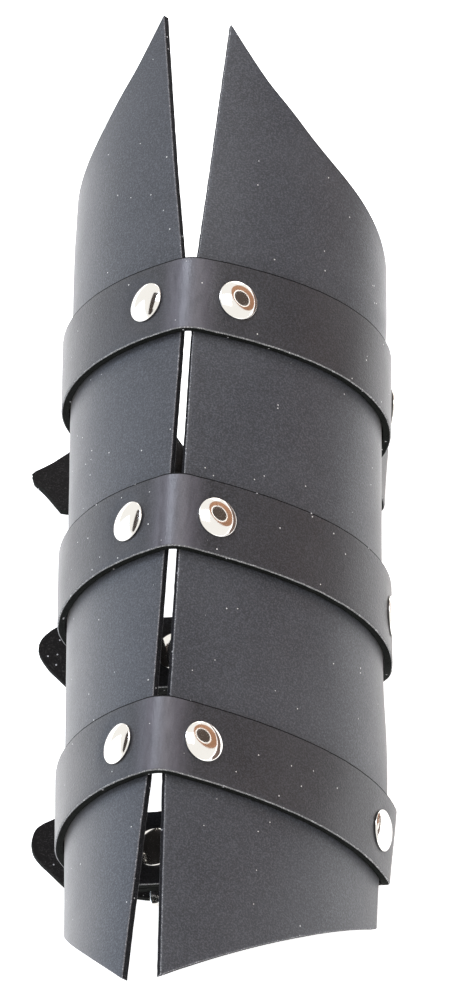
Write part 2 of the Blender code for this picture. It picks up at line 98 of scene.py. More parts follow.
def curve_through(pairs, where):
    """Value at a place on a smooth curve through a table of (place, value) pairs."""
    where = min(max(where, pairs[0][0]), pairs[-1][0])
    spot = next(i for i in range(1, len(pairs)) if where <= pairs[i][0])
    (x0, y0), (x1, y1) = pairs[spot - 1], pairs[spot]
    before, after = pairs[max(spot - 2, 0)], pairs[min(spot + 1, len(pairs) - 1)]
    leave = (y1 - before[1]) / (x1 - before[0])
    arrive = (after[1] - y0) / (after[0] - x0)
    t = (where - x0) / (x1 - x0)
    reach = x1 - x0
    return (
        (1 + 2 * t) * (1 - t) ** 2 * y0 + t * (1 - t) ** 2 * reach * leave
        + t * t * (3 - 2 * t) * y1 + t * t * (t - 1) * reach * arrive
    )


def straight_through(pairs, where):
    """Value at a place on straight runs through a table of (place, value) pairs."""
    where = min(max(where, pairs[0][0]), pairs[-1][0])
    spot = next(i for i in range(1, len(pairs)) if where <= pairs[i][0])
    (x0, y0), (x1, y1) = pairs[spot - 1], pairs[spot]
    return y0 + (y1 - y0) * (where - x0) / (x1 - x0)


def ease(share):
    """Share from 0 to 1 with a soft start and a soft end."""
    share = min(max(share, 0.0), 1.0)
    return 0.5 - 0.5 * math.cos(math.pi * share)


def through_three(low, middle, high, share):
    """Value at a share from -1 to 1 on a curve through three values."""
    return middle + (high - low) / 2 * share + (high + low - 2 * middle) / 2 * share * share


def falling_angle(side, arc, station):
    """Angle in radians at which a panel falls away, at an arc from the ridge."""
    share = min(max(station / STRAP_PITCH, -BEND_SPAN), BEND_SPAN)
    rows = [BENDS[row, side] for row in ("wrist", "middle", "elbow")]
    angles = [through_three(rows[0][i], rows[1][i], rows[2][i], share) for i in range(3)]
    angle = through_three(*angles, 2 * arc / BEND_ARC - 1)
    if side > 0:
        angle += curve_through(RIGHT_LEAN, station / STRAP_PITCH) * ease(arc / BEND_ARC)
    else:
        angle += through_three(*TURN_IN, min(max(share, -1), 1)) * ease((arc - TURN_START) / TURN_RUN)
    return math.radians(angle)


def skin(side, arc, station, offset=0.0):
    """Point and outward normal over a panel's outer face, in the ridge's frame."""
    steps = 24
    x = z = 0.0
    for i in range(steps):
        angle = falling_angle(side, arc * (i + 0.5) / steps, station)
        x += math.cos(angle) * arc / steps
        z -= math.sin(angle) * arc / steps
    angle = falling_angle(side, arc, station)
    normal = Vector((side * math.sin(angle), 0, math.cos(angle)))
    return Vector((side * x, station, z)) + normal * offset, normal


def side_edge(station):
    """Arc from the ridge to a panel's outer edge."""
    arcs = ((-POINT_REACH, 95 * MM), (-101 * MM, 95 * MM), (106 * MM, 107 * MM), (176 * MM, 107 * MM))
    return straight_through(arcs, station)


def sheet_mesh(columns, rows, place, slot):
    """Grid of leather whose face is shaped by place(across, along), both from 0 to 1, seen from outside, with
    the material slot(across, along) of each face."""
    work = bmesh.new()
    bmesh.ops.create_grid(work, x_segments=columns, y_segments=rows, size=0.5)
    for face in work.faces:
        centre = face.calc_center_median()
        face.material_index = slot(centre.x + 0.5, centre.y + 0.5)
    for vertex in work.verts:
        vertex.co = LAID_DOWN @ place(vertex.co.x + 0.5, vertex.co.y + 0.5)
    work.normal_update()
    return work


def hemmed(share, lines, reach, hem):
    """Move the grid line next to a sheet's far edge to a hem's width from that edge."""
    return 1 - hem / reach if round((1 - share) * lines) == 1 else share


def add_piece(name, work, materials):
    """Make an object of a bmesh, with its materials in order."""
    mesh = bpy.data.meshes.new(name)
    work.to_mesh(mesh)
    work.free()
    piece = bpy.data.objects.new(name, mesh)
    bpy.context.scene.collection.objects.link(piece)
    for material in materials:
        mesh.materials.append(material)
    return piece


def skive(piece, rounding=0.0, cutters=()):
    """Give a sheet its wall and its punched holes, and round its cut edges. The rounded arris is pale, partly
    from wear and partly as a painted highlight, except where it looks towards the elbow, where it keeps the
    dark cut edge."""
    wall = piece.modifiers.new("wall", "SOLIDIFY")
    wall.thickness = LEATHER_WALL
    wall.offset = -1
    wall.material_offset = 1
    wall.material_offset_rim = 2
    if rounding:
        edge = piece.modifiers.new("edge", "BEVEL")
        edge.width = rounding
        edge.segments = 3
        edge.limit_method = "ANGLE"
        edge.angle_limit = math.radians(55)
        edge.material = 3
    for cutter in cutters:
        punch = piece.modifiers.new("punch", "BOOLEAN")
        punch.operation = "DIFFERENCE"
        punch.solver = "EXACT"
        punch.object = cutter
    graph = bpy.context.evaluated_depsgraph_get()
    shaped = bpy.data.meshes.new_from_object(piece.evaluated_get(graph))
    piece.modifiers.clear()
    piece.data = shaped
    shaped.shade_smooth()
    shaped.set_sharp_from_angle(angle=math.radians(60))
    # Where the arris faces the elbow it takes the dark cut edge; elsewhere its pale is partly wear and partly
    # a painted highlight
    if rounding:
        for face in shaped.polygons:
            if face.material_index == 3 and face.normal.y > 0.15:
                face.material_index = 2
    for cutter in cutters:
        bpy.data.objects.remove(cutter)


def node(tree, kind, values=(), links=(), **settings):
    """Add a shader node, set its values and link sockets into it."""
    made = tree.nodes.new(kind)
    for key, value in settings.items():
        setattr(made, key, value)
    for key, value in dict(values).items():
        made.inputs[key].default_value = value
    for key, socket in dict(links).items():
        tree.links.new(socket, made.inputs[key])
    return made


def new_group(name, inputs, outputs):
    """Start a shader node group with named sockets."""
    tree = bpy.data.node_groups.new(name, "ShaderNodeTree")
    for label, kind, value in inputs:
        socket = tree.interface.new_socket(label, in_out="INPUT", socket_type=kind)
        if value is not None:
            socket.default_value = value
    for label, kind in outputs:
        tree.interface.new_socket(label, in_out="OUTPUT", socket_type=kind)
    return tree, tree.nodes.new("NodeGroupInput").outputs, tree.nodes.new("NodeGroupOutput").inputs


def ramp(tree, socket, stops, mode="LINEAR"):
    """Colour ramp on a mask, from (position, grey) stops."""
    made = node(tree, "ShaderNodeValToRGB", links={"Fac": socket})
    made.color_ramp.interpolation = mode
    while len(made.color_ramp.elements) < len(stops):
        made.color_ramp.elements.new(0.5)
    for element, (position, grey) in zip(made.color_ramp.elements, stops):
        element.position = position
        element.color = (grey, grey, grey, 1)
    return made.outputs["Color"]


# Fine grain of smooth full-grain leather: closed pores, faint creases and a cloudy unevenness of the finish
grain, grain_in, grain_out = new_group(
    "leather_grain",
    [("Vector", "NodeSocketVector", None), ("Pores", "NodeSocketFloat", 1.0)],
    [("Height", "NodeSocketFloat"), ("Cloud", "NodeSocketFloat"), ("Fleck", "NodeSocketFloat")],
)
pores = node(grain, "ShaderNodeTexVoronoi", {"Scale": 1700.0, "Randomness": 1.0},
             {"Vector": grain_in["Vector"]})
creases = node(grain, "ShaderNodeTexNoise", {"Scale": 520.0, "Detail": 3.0, "Roughness": 0.6,
               "Distortion": 0.4}, {"Vector": grain_in["Vector"]})
swell = node(grain, "ShaderNodeTexNoise", {"Scale": 60.0, "Detail": 1.0}, {"Vector": grain_in["Vector"]})
pore_height = node(grain, "ShaderNodeMath", links={0: pores.outputs["Distance"], 1: grain_in["Pores"]},
                   operation="MULTIPLY")
fine = node(grain, "ShaderNodeMath", {2: 0.0}, {0: creases.outputs["Fac"], 1: grain_in["Pores"],
            2: pore_height.outputs[0]}, operation="MULTIPLY_ADD")
height = node(grain, "ShaderNodeMath", {1: 1.6}, {0: swell.outputs["Fac"], 2: fine.outputs[0]},
              operation="MULTIPLY_ADD")
grain.links.new(height.outputs[0], grain_out["Height"])
cloud = node(grain, "ShaderNodeTexNoise", {"Scale": 34.0, "Detail": 4.0, "Roughness": 0.62},
             {"Vector": grain_in["Vector"]})
grain.links.new(ramp(grain, cloud.outputs["Fac"], [(0.32, 0.0), (0.68, 1.0)]), grain_out["Cloud"])
speckle = node(grain, "ShaderNodeTexNoise", {"Scale": 1900.0, "Detail": 1.0, "Roughness": 0.7},
               {"Vector": grain_in["Vector"]})
grain.links.new(ramp(grain, speckle.outputs["Fac"], [(0.42, 0.0), (0.72, 1.0)]), grain_out["Fleck"])

# Specks of white lint that lie on the leather
lint, lint_in, lint_out = new_group(
    "lint",
    [("Vector", "NodeSocketVector", None), ("Size", "NodeSocketFloat", 0.05),
     ("Rarity", "NodeSocketFloat", 0.8)],
    [("Mask", "NodeSocketFloat")],
)
cells = node(lint, "ShaderNodeTexVoronoi", {"Scale": 400.0, "Randomness": 1.0}, {"Vector": lint_in["Vector"]})
near = node(lint, "ShaderNodeMath", links={0: cells.outputs["Distance"], 1: lint_in["Size"]},
            operation="LESS_THAN")
pick = node(lint, "ShaderNodeSeparateColor", links={"Color": cells.outputs["Color"]})
chosen = node(lint, "ShaderNodeMath", links={0: pick.outputs["Red"], 1: lint_in["Rarity"]},
              operation="GREATER_THAN")
both = node(lint, "ShaderNodeMath", links={0: near.outputs[0], 1: chosen.outputs[0]}, operation="MULTIPLY")
lint.links.new(both.outputs[0], lint_out["Mask"])

# Painted highlight: a paler, streaky band along the top of a strap where it bends over the ridge
ridge_highlight, highlight_in, highlight_out = new_group(
    "ridge_highlight", [("Vector", "NodeSocketVector", None)], [("Mask", "NodeSocketFloat")],
)
across = node(ridge_highlight, "ShaderNodeSeparateXYZ", links={"Vector": highlight_in["Vector"]})
aside = node(ridge_highlight, "ShaderNodeMath", {1: LAID_DOWN.translation.x}, {0: across.outputs["X"]},
             operation="SUBTRACT")
away = node(ridge_highlight, "ShaderNodeMath", links={0: aside.outputs[0]}, operation="ABSOLUTE")
band = node(ridge_highlight, "ShaderNodeMapRange", {"From Min": 0.003, "From Max": 0.010, "To Min": 1.0,
            "To Max": 0.0}, {"Value": away.outputs[0]}, interpolation_type="SMOOTHSTEP")
on_top = node(ridge_highlight, "ShaderNodeMath", {1: 0.06}, {0: across.outputs["Z"]}, operation="GREATER_THAN")
lengthwise = node(ridge_highlight, "ShaderNodeMapping", {"Scale": (1.0, 0.07, 1.0)},
                  {"Vector": highlight_in["Vector"]})
streak = node(ridge_highlight, "ShaderNodeTexNoise", {"Scale": 620.0, "Detail": 3.0, "Roughness": 0.6},
              {"Vector": lengthwise.outputs["Vector"]})
uneven = node(ridge_highlight, "ShaderNodeMapRange", {"From Min": 0.3, "From Max": 0.7, "To Min": 0.45,
              "To Max": 1.0}, {"Value": streak.outputs["Fac"]})
top_band = node(ridge_highlight, "ShaderNodeMath", links={0: band.outputs["Result"], 1: on_top.outputs[0]},
                operation="MULTIPLY")
streaky = node(ridge_highlight, "ShaderNodeMath", links={0: top_band.outputs[0], 1: uneven.outputs["Result"]},
               operation="MULTIPLY")
ridge_highlight.links.new(streaky.outputs[0], highlight_out["Mask"])

# Loose fibres, as on a cut edge and on the napped inside
fibres, fibres_in, fibres_out = new_group(
    "fibres",
    [("Vector", "NodeSocketVector", None), ("Scale", "NodeSocketFloat", 900.0)],
    [("Height", "NodeSocketFloat"), ("Strand", "NodeSocketFloat")],
)
strands = node(fibres, "ShaderNodeTexNoise", {"Detail": 5.0, "Roughness": 0.7, "Distortion": 2.5},
               {"Vector": fibres_in["Vector"], "Scale": fibres_in["Scale"]})
fibres.links.new(strands.outputs["Fac"], fibres_out["Height"])
fibres.links.new(ramp(fibres, strands.outputs["Fac"], [(0.52, 0.0), (0.66, 1.0)]), fibres_out["Strand"])


def mix(tree, first, second, mask):
    """Blend two colours by a mask; each colour is a tuple or a socket."""
    made = node(tree, "ShaderNodeMix", data_type="RGBA")
    tree.links.new(mask, made.inputs["Factor"])
    for key, colour in (("A", first), ("B", second)):
        socket = next(s for s in made.inputs if s.name == key and s.type == "RGBA")
        if isinstance(colour, tuple):
            socket.default_value = (*colour, 1)
        else:
            tree.links.new(colour, socket)
    return next(s for s in made.outputs if s.type == "RGBA")


def start_material(name, **constants):
    """Principled material with constant values on its own sockets."""
    material = bpy.data.materials.new(name)
    material.use_nodes = True
    shader = material.node_tree.nodes["Principled BSDF"]
    for key, value in constants.items():
        shader.inputs[key.replace("_", " ")].default_value = value
    coords = material.node_tree.nodes.new("ShaderNodeTexCoord").outputs["Object"]
    return material, material.node_tree, shader, coords


def place_group(tree, group, coords, **values):
    """Put a node group in a material, with its own values."""
    made = node(tree, "ShaderNodeGroup", node_tree=group)
    tree.links.new(coords, made.inputs["Vector"])
    for key, value in values.items():
        made.inputs[key].default_value = value
    return made.outputs


def bump(tree, shader, height, strength, distance):
    made = node(tree, "ShaderNodeBump", {"Strength": strength, "Distance": distance}, {"Height": height})
    tree.links.new(made.outputs["Normal"], shader.inputs["Normal"])


FLECK_GAIN = 2.2
LINT_WHITE, LINT_GREY = (0.72, 0.71, 0.70), (0.55, 0.54, 0.56)


def grain_side(name, dark, pale, rough, highlight_colour=None):
    """Finished side of the leather, from its darkest and palest colour and its two roughnesses. Where a strap
    bends over the ridge, a painted highlight of the given colour lies along its top, in streaks along the
    ridge."""
    material, tree, shader, coords = start_material(name, IOR=1.5, Sheen_Weight=0.25, Sheen_Roughness=0.35)
    shader.inputs["Sheen Tint"].default_value = (1.0, 0.97, 0.94, 1)
    marks = place_group(tree, grain, coords, Pores=1.0)
    dust = place_group(tree, lint, coords, Size=0.085, Rarity=0.86)
    colour = mix(tree, dark, pale, marks["Cloud"])
    colour = mix(tree, colour, tuple(c * FLECK_GAIN for c in pale), marks["Fleck"])
    # Painted highlight along the top of the ridge, in streaks
    if highlight_colour:
        streaks = place_group(tree, ridge_highlight, coords)
        colour = mix(tree, colour, highlight_colour, streaks["Mask"])
    colour = mix(tree, colour, LINT_WHITE, dust["Mask"])
    tree.links.new(colour, shader.inputs["Base Color"])
    shine = node(tree, "ShaderNodeMapRange", {"To Min": rough[0], "To Max": rough[1]},
                 {"Value": marks["Cloud"]})
    tree.links.new(shine.outputs["Result"], shader.inputs["Roughness"])
    bump(tree, shader, marks["Height"], 0.5, 0.00009)
    return material


def raw_side(name, dark, strand, scale, depth):
    """Fibrous leather where it is cut or napped."""
    material, tree, shader, coords = start_material(name, IOR=1.4, Roughness=0.95, Specular_IOR_Level=0.2)
    hairs = place_group(tree, fibres, coords, Scale=scale)
    dust = place_group(tree, lint, coords, Size=0.11, Rarity=0.6)
    colour = mix(tree, dark, strand, hairs["Strand"])
    colour = mix(tree, colour, LINT_GREY, dust["Mask"])
    tree.links.new(colour, shader.inputs["Base Color"])
    bump(tree, shader, hairs["Height"], 0.9, depth)
    return material


def pale_edge_and_highlight(name, dark, pale):
    """Rounded arris of the leather, pale partly where the finish has worn and partly as a painted highlight.
    """
    material, tree, shader, coords = start_material(name, IOR=1.45, Roughness=0.55)
    hairs = place_group(tree, fibres, coords, Scale=1300.0)
    colour = mix(tree, dark, pale, hairs["Strand"])
    tree.links.new(colour, shader.inputs["Base Color"])
    bump(tree, shader, hairs["Height"], 0.6, 0.0001)
    return material


panel_face = grain_side("panel_grain_side", (0.025, 0.027, 0.033), (0.036, 0.038, 0.045), (0.38, 0.48))
flesh_side = raw_side("flesh_side", (0.012, 0.011, 0.011), (0.044, 0.041, 0.040), 700.0, 0.00025)
cut_edge = raw_side("cut_edge", (0.009, 0.009, 0.010), (0.065, 0.063, 0.075), 1500.0, 0.0002)
# Black dressing: it dresses the wings' cut edges, and on the straps' elbow-side edges it is a painted shade
# where they meet the panel
black_dressing_and_shade = raw_side("edge_dressing", (0.007, 0.007, 0.007), (0.035, 0.035, 0.038), 1500.0, 0.0001)
# Pale arris: partly wear, partly a painted highlight
arris = pale_edge_and_highlight("pale_arris_and_highlight", (0.070, 0.070, 0.078), (0.50, 0.50, 0.52))


def panel_sheet(hand):
    """A panel's outer face, with a dressed last row at the wing's cut edge."""
    spec = PANEL_REACH[hand]
    side, tip = spec["side"], spec["tip"]

    def place(across, along):
        across = across if side > 0 else 1 - across
        along = hemmed(along, PANEL_ROWS, MEAN_LENGTH, HEM)
        share = curve_through(WING_CUT, across) + spec["fullness"] * across * (1 - across)
        top = spec["shoulder"] + (tip - spec["shoulder"]) * share
        bow = across + spec["bow"] * across * (1 - across)
        bottom = -POINT_REACH + (POINT_REACH - spec["corner"]) * bow
        station = bottom + (top - bottom) * along
        start = MM * straight_through(spec["slit"], station / STRAP_PITCH)
        arc = start + (side_edge(station) - start) * across
        unevenness = PANEL_SWELL * noise.noise(Vector((side * arc, station, 0)) * 45)
        shaky = EDGE_SHAKE * noise.noise(Vector((station, side, 0)) * 420) * (1 - across) ** 8
        return skin(side, arc + shaky, station, unevenness)[0]

    def slot(across, along):
        return 4 if along > 1 - 1 / PANEL_ROWS else 0

    return sheet_mesh(PANEL_COLUMNS, PANEL_ROWS, place, slot)


for hand in PANEL_REACH:
    panel = add_piece(f"{hand}_panel", panel_sheet(hand), [panel_face, flesh_side, cut_edge, arris, black_dressing_and_shade])
    skive(panel, ARRIS)
    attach(panel, "root")
    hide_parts(f"panel_{hand}")

# STRAPS
# Three straps of the same black leather, each one piece: from the tongue's point under the arm, up the right
# side, over the ridge, down the left side to the fold round the buckle's centre bar. Riveted to the panels.
LAY_GAP = 0.45 * MM
GAP = 0.3 * MM
RIDGE_FOLD, CREST_RISE = 5 * MM, 1.25 * MM
REAR_SHIFT = 5 * MM
TIP_SLANT, TIP_RISE, TIP_LENGTH = 6 * MM, 6.5 * MM, 10 * MM
FLAT_RUN, CHAPE_RETURN, CHAPE_SLACK = 8 * MM, 7 * MM, 1 * MM
BUCKLE_X, BUCKLE_HALF = -11 * MM, 14 * MM
BAR, BAR_ARCH = 2.6 * MM, 3.5 * MM
PRONG_WIDTH, PRONG_THICK, PRONG_ROOM = 2.6 * MM, 1.4 * MM, 1 * MM
PRONG_HOLE, HOLE_PITCH, HOLE_RADIUS = 7.3 * MM, 19 * MM, 2.6 * MM
POST_RADIUS, BACK_RADIUS, BACK_HEIGHT = 1.8 * MM, 4.2 * MM, 0.8 * MM
LYING = -BAR / 2 - GAP
LIFTED = BAR / 2 + GAP + LEATHER_WALL
CHAPE = BAR / 2 + GAP + BACK_HEIGHT + GAP + LEATHER_WALL
FOLD_RADIUS = BAR / 2 * math.sqrt(2) + GAP
SIDE_RIVET_INSET = 9.5 * MM
# How far a strap bows out where it leaves the panels' edge and where it comes to lie flat
EDGE_SWEEP, FLAT_SWEEP = 0.55, 0.6
# Where the leather is pressed in under a cap: how wide and how deep that reaches, and how far it gives
PRESS_RADIUS, PRESS_REACH = 7.7 * MM, 6 * MM
PRESS_SINK, PRESS_DOWN, PRESS_UP = 0.16 * MM, 0.45 * MM, 0.3 * MM
STRAP_SWELL, STRAP_SHAKE = 0.07 * MM, 0.1 * MM
STRAPS = {
    "elbow": {"station": 1, "depth": 129.7 * MM, "tongue": 83.0 * MM, "tilt": RIDGE_TILT},
    "middle": {"station": 0, "depth": 106.0 * MM, "tongue": 69.5 * MM, "tilt": 0.0},
    "wrist": {"station": -1, "depth": 92.0 * MM, "tongue": 63.0 * MM, "tilt": 0.0},
}
# Rivets: distance from the ridge on the left and the right, and from the centre bar to the fold's rivet
RIVETS = {
    "elbow": {-1: 13.5 * MM, 1: 14.0 * MM, "fold": 12.5 * MM},
    "middle": {-1: 15.3 * MM, 1: 12.0 * MM, "fold": 13.7 * MM},
    "wrist": {-1: 14.0 * MM, 1: 12.1 * MM, "fold": 12.5 * MM},
}
# How far a cap leans down its side, in degrees
LEAN = {
    ("elbow", -1): -4, ("middle", -1): -4, ("wrist", -1): -5,
    ("elbow", 1): 3, ("middle", 1): 1, ("wrist", 1): 1,
}
CAP_SEAT = LAY_GAP + LEATHER_WALL - 0.08 * MM
# A tongue's width at shares of its tip's length
TONGUE_POINT = {
    "elbow": ((0.0, 0.04), (0.05, 0.17), (0.25, 0.32), (0.55, 0.56), (1.0, 1.0)),
    "middle": ((0.0, 0.05), (0.05, 0.20), (0.16, 0.35), (0.36, 0.56), (1.0, 1.0)),
    "wrist": ((0.0, 0.06), (0.04, 0.25), (0.13, 0.40), (0.30, 0.54), (1.0, 1.0)),
}


def under(row, x, aside, height):
    """Point on a strap's underside, in the ridge's frame."""
    spec = STRAPS[row]
    tilt = spec["tilt"]
    y = spec["station"] * STRAP_PITCH + REAR_SHIFT + aside * math.cos(tilt) + height * math.sin(tilt)
    z = -spec["depth"] - aside * math.sin(tilt) + height * math.cos(tilt)
    return Vector((x, y, z))


def bezier(start, leave, arrive, end, steps):
    """Points on a cubic curve, without its start."""
    spots = [(i / steps, 1 - i / steps) for i in range(1, steps + 1)]
    return [start * s**3 + leave * 3 * s * s * t + arrive * 3 * s * t * t + end * t**3 for t, s in spots]


def strap_line(row, aside):
    """Inner face of a strap at a distance from its middle, tongue first, with its share of the width."""
    spec = STRAPS[row]
    front = spec["station"] * STRAP_PITCH + aside
    left_bar, right_bar = BUCKLE_X - BUCKLE_HALF, BUCKLE_X + BUCKLE_HALF
    path, width = [], []

    def add(point, share=1.0):
        path.append(point)
        width.append(share)

    free = spec["tongue"] + left_bar - BAR
    places = [TIP_LENGTH * (i / 12) ** 2 for i in range(12)]
    places += [TIP_LENGTH + (free - TIP_LENGTH) * i / 24 for i in range(25)]
    for place in places:
        out = 1 - place / free
        share = straight_through(TONGUE_POINT[row], place / TIP_LENGTH)
        add(under(row, place - spec["tongue"], aside + TIP_SLANT * out, LYING + TIP_RISE * out * out), share)
    climb = BUCKLE_HALF - BAR / 2 - GAP
    for i in range(17):
        add(under(row, BUCKLE_X + climb * i / 16, aside, LYING + (LIFTED - LYING) * ease(i / 16)))
    past = right_bar + BAR / 2 + GAP
    for i in range(15):
        add(under(row, past + BUCKLE_HALF * i / 14, aside, LIFTED + (LYING - LIFTED) * ease(i / 14)))
    edge_arc = side_edge(front)
    edge, normal = skin(1, edge_arc, front, LAY_GAP)
    start = under(row, past + BUCKLE_HALF + FLAT_RUN, aside, LYING)
    add(start)
    below = Vector((normal.z, 0, -normal.x)) * EDGE_SWEEP * (edge.z - start.z)
    run = Vector((FLAT_SWEEP * (edge.x - start.x), 0, 0))
    for point in bezier(start, start + run, edge + below, edge, 32):
        share = ease((point.z - start.z) / (edge.z - start.z))
        add(Vector((point.x, start.y + (front - start.y) * share, point.z)))
    for i in range(1, 81):
        add(skin(1, edge_arc + (RIDGE_FOLD - edge_arc) * i / 80, front, LAY_GAP)[0])
    first, last = path[-1], skin(-1, RIDGE_FOLD, front, LAY_GAP)[0]
    crest = Vector((0, front, CREST_RISE))
    for i in range(1, 17):
        t = i / 16
        add(first * (1 - t) ** 2 + crest * 2 * t * (1 - t) + last * t * t)
    for i in range(1, 81):
        add(skin(-1, RIDGE_FOLD + (edge_arc - RIDGE_FOLD) * i / 80, front, LAY_GAP)[0])
    edge, normal = skin(-1, edge_arc, front, LAY_GAP)
    rivet = BUCKLE_X - RIVETS[row]["fold"]
    end = under(row, rivet - CHAPE_RETURN - CHAPE_SLACK, aside, CHAPE)
    below = Vector((-normal.z, 0, normal.x)) * EDGE_SWEEP * (edge.z - end.z)
    run = Vector((FLAT_SWEEP * (end.x - edge.x), 0, 0))
    for point in bezier(edge, edge + below, end - run, end, 32):
        share = ease((edge.z - point.z) / (edge.z - end.z))
        add(Vector((point.x, front + (end.y - front) * share, point.z)))
    closed = rivet + POST_RADIUS + 2 * CHAPE_SLACK
    for i in range(10):
        place = closed + (BUCKLE_X - closed) * i / 10
        add(under(row, place, aside, CHAPE + (BAR_ARCH - FOLD_RADIUS - CHAPE) * ease(i / 10)))
    for i in range(15):
        angle = math.pi * (i / 14 - 0.5)
        place = BUCKLE_X + FOLD_RADIUS * math.cos(angle)
        add(under(row, place, aside, BAR_ARCH + FOLD_RADIUS * math.sin(angle)))
    back = CHAPE + GAP
    for i in range(1, 11):
        place = BUCKLE_X + (closed - BUCKLE_X) * i / 10
        add(under(row, place, aside, BAR_ARCH + FOLD_RADIUS + (back - BAR_ARCH - FOLD_RADIUS) * ease(i / 10)))
    for i in range(1, 7):
        place = closed + (rivet - CHAPE_RETURN - closed) * i / 6
        add(under(row, place, aside, back))
    return path, width


def rivet_seat(row, side, place):
    """Placement of a rivet on a panel's face, in the ridge's frame."""
    station = STRAPS[row]["station"] * STRAP_PITCH
    arc = RIVETS[row][side]
    if place == "side":
        arc = side_edge(station) - SIDE_RIVET_INSET
    near = POST_RADIUS
    along = skin(side, arc, station + near)[0] - skin(side, arc, station - near)[0]
    down = skin(side, arc + near, station)[0] - skin(side, arc - near, station)[0]
    normal = (down.cross(along) * side).normalized()
    turn = normal.to_track_quat("Z", "Y").to_matrix().to_4x4()
    lean = LEAN[row, side] if place == "slit" else 0
    turn = Matrix.Rotation(math.radians(lean), 4, along.normalized()) @ turn
    return Matrix.Translation(skin(side, arc, station)[0]) @ turn


def under_frame(row, x, height):
    """Placement on a strap's underside, in the ridge's frame."""
    return Matrix.Translation(under(row, x, 0.0, height)) @ Matrix.Rotation(-STRAPS[row]["tilt"], 4, "X")


SEATS = {
    (row, place, side): rivet_seat(row, side, place)
    for row in STRAPS for place in ("slit", "side") for side in (-1, 1)
}


# Lines of a strap's sheet beside each edge, in mm: distance from the edge, and how far it is rounded off there
ROUNDED = ((0.0, 0.36), (0.12, 0.13), (0.30, 0.03), (0.55, 0.0))
beside = [1 - 2 * MM * distance / STRAP_WIDTH for distance, _ in ROUNDED]
LINES = [-share for share in beside] + [beside[-1] * (i / 6 - 1) for i in range(1, 12)] + beside[::-1]
COLUMNS = len(LINES) - 1


def strap_sheet(row):
    """The strap's outer face, pressed in a little under each rivet's cap."""
    middle, width = strap_line(row, 0.0)
    lines = [strap_line(row, STRAP_WIDTH / 2 * share)[0] for share in LINES]
    last = len(middle) - 1
    presses = [(seat.inverted(), seat.col[2].xyz) for (r, _, _), seat in SEATS.items() if r == row]

    def place(across, along):
        j, i = round(across * COLUMNS), round(along * last)
        run = lines[j][min(i + 1, last)] - lines[j][max(i - 1, 0)]
        outward = (lines[-1][i] - lines[0][i]).cross(run).normalized()
        point = middle[i].lerp(lines[j][i], width[i])
        uneven = STRAP_SWELL * noise.noise(point * 60)
        shaky = Vector((0, STRAP_SHAKE * noise.noise(point * 330) * abs(LINES[j]) ** 6, 0))
        point = point + outward * (LEATHER_WALL + uneven) + shaky
        for into, normal in presses:
            near = into @ point
            hold = math.exp(-((near.xy.length / PRESS_RADIUS) ** 5)) if abs(near.z) < PRESS_REACH else 0.0
            press = CAP_SEAT - PRESS_SINK - near.z
            point = point + normal * hold * min(max(press, -PRESS_DOWN), PRESS_UP)
        return point

    # The wrist-side edge gets the pale arris, partly wear and partly a painted highlight; the elbow-side edge
    # gets the black dressing as a painted shade
    def slot(across, along):
        column = across * COLUMNS
        return 3 if column < 2 else 6 if column > COLUMNS - 3 else 0

    work = sheet_mesh(COLUMNS, last, place, slot)
    drop = work.verts.layers.float.new("drop")
    drops = [MM * depth for _, depth in ROUNDED]
    for i, vertex in enumerate(work.verts):
        j = i % (COLUMNS + 1)
        vertex[drop] = drops[min(j, COLUMNS - j)] if min(j, COLUMNS - j) < len(drops) else 0.0
    return work


def round_off(strap):
    """Lower the grain side's edges to a round, once the strap has its thickness."""
    mesh = strap.data
    drops = mesh.attributes["drop"].data
    outward = {v: face.normal.copy() for face in mesh.polygons if face.material_index % 3 == 0
               for v in face.vertices}
    for index, normal in outward.items():
        mesh.vertices[index].co -= normal * drops[index].value
    mesh.attributes.remove(mesh.attributes["drop"])


def punch_tool(row):
    """Everything that is punched out of a strap: the tongue's holes and the prong's slot in the fold."""
    work = bmesh.new()
    for place in (-2, -1, 0, 1):
        top = LEATHER_WALL / 2 if place < 0 else 3 * LEATHER_WALL
        low = -2 * LEATHER_WALL
        seat = under_frame(row, BUCKLE_X + PRONG_HOLE + place * HOLE_PITCH, LYING + (top + low) / 2)
        bmesh.ops.create_cone(work, cap_ends=True, segments=32, radius1=HOLE_RADIUS, radius2=HOLE_RADIUS,
                              depth=top - low, matrix=LAID_DOWN @ seat)
    slot = LAID_DOWN @ under_frame(row, BUCKLE_X, BAR_ARCH) @ Matrix.Rotation(math.pi / 2, 4, "X")
    reach = FOLD_RADIUS + LEATHER_WALL + GAP
    bmesh.ops.create_cone(work, cap_ends=True, segments=40, radius1=reach, radius2=reach,
                          depth=PRONG_WIDTH + PRONG_ROOM, matrix=slot)
    for face in work.faces:
        face.material_index = 2
    return add_piece("punch_tool", work, strap_finishes)


# The strap's pale mauve ridge colour is a painted highlight
strap_face = grain_side("strap_grain_side", (0.016, 0.016, 0.019), (0.024, 0.024, 0.028), (0.34, 0.44),
                        highlight_colour=(0.098, 0.092, 0.110))
strap_edge = raw_side("strap_cut_edge", (0.004, 0.0045, 0.004), (0.030, 0.036, 0.030), 1700.0, 0.00018)
# The strap's pale wrist-side arris: partly wear, partly a painted highlight
strap_scuff_and_highlight = pale_edge_and_highlight("strap_scuff_and_highlight", (0.13, 0.13, 0.135), (0.80, 0.80, 0.80))
# Grain side, inside and cut edge, then the same at the wrist-side edge, pale partly from wear and partly as a
# painted highlight, and at the elbow-side edge, black as a painted shade
strap_finishes = [strap_face, flesh_side, strap_edge, strap_scuff_and_highlight, flesh_side, strap_edge,
                  black_dressing_and_shade, flesh_side, strap_edge]
for row in STRAPS:
    strap = add_piece(f"{row}_strap", strap_sheet(row), strap_finishes)
    skive(strap, cutters=[punch_tool(row)])
    round_off(strap)
    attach(strap, "root")
    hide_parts(f"strap_{row}")

